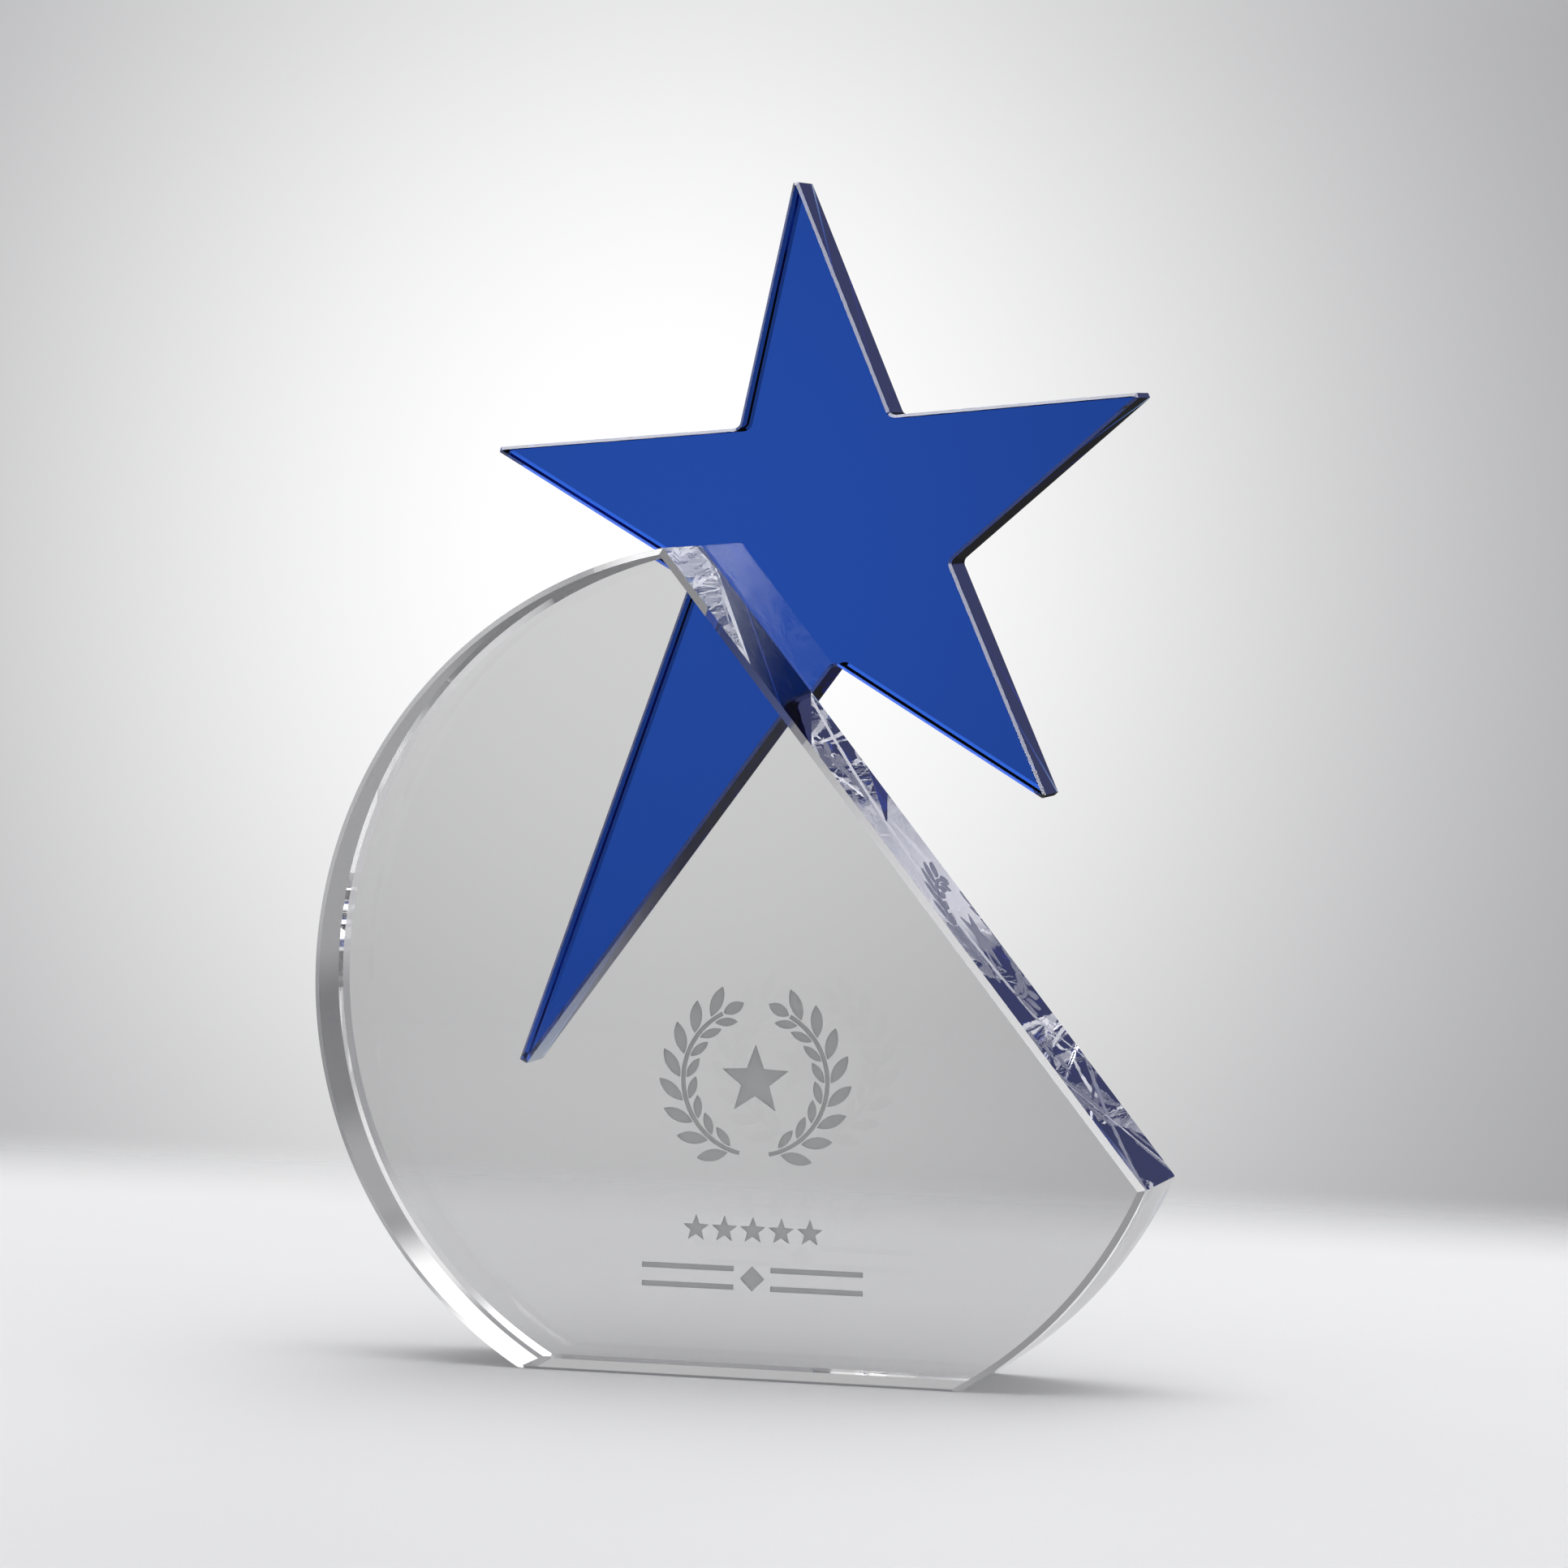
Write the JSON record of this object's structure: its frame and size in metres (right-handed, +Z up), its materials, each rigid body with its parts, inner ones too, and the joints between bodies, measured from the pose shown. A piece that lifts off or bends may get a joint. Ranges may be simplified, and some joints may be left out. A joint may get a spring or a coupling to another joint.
{
  "type": "star trophy",
  "caption": "Free-standing award: a clear crystal disc with a flat base and a slanted cut, and a blue crystal star bonded to its back, one point stretched into a leg.",
  "frame": {"origin": "middle of the flat base face that the award stands on", "axes": "+X along the disc towards the slanted cut, +Y from the engraved front towards the star at the back, +Z up"},
  "size_m": [0.1438, 0.0351, 0.1994],
  "materials": {
    "clear_crystal": "clear optical crystal, ground and polished all over, with a frosted engraving sunk in the front face",
    "blue_crystal": "cobalt blue crystal, ground and polished all over",
    "clear_adhesive": "clear cured optical adhesive"
  },
  "bodies": {
    "root": {"crystal_disc": "clear_crystal", "blue_star": "blue_crystal", "bond_film": "clear_adhesive"}
  },
  "joints": []
}
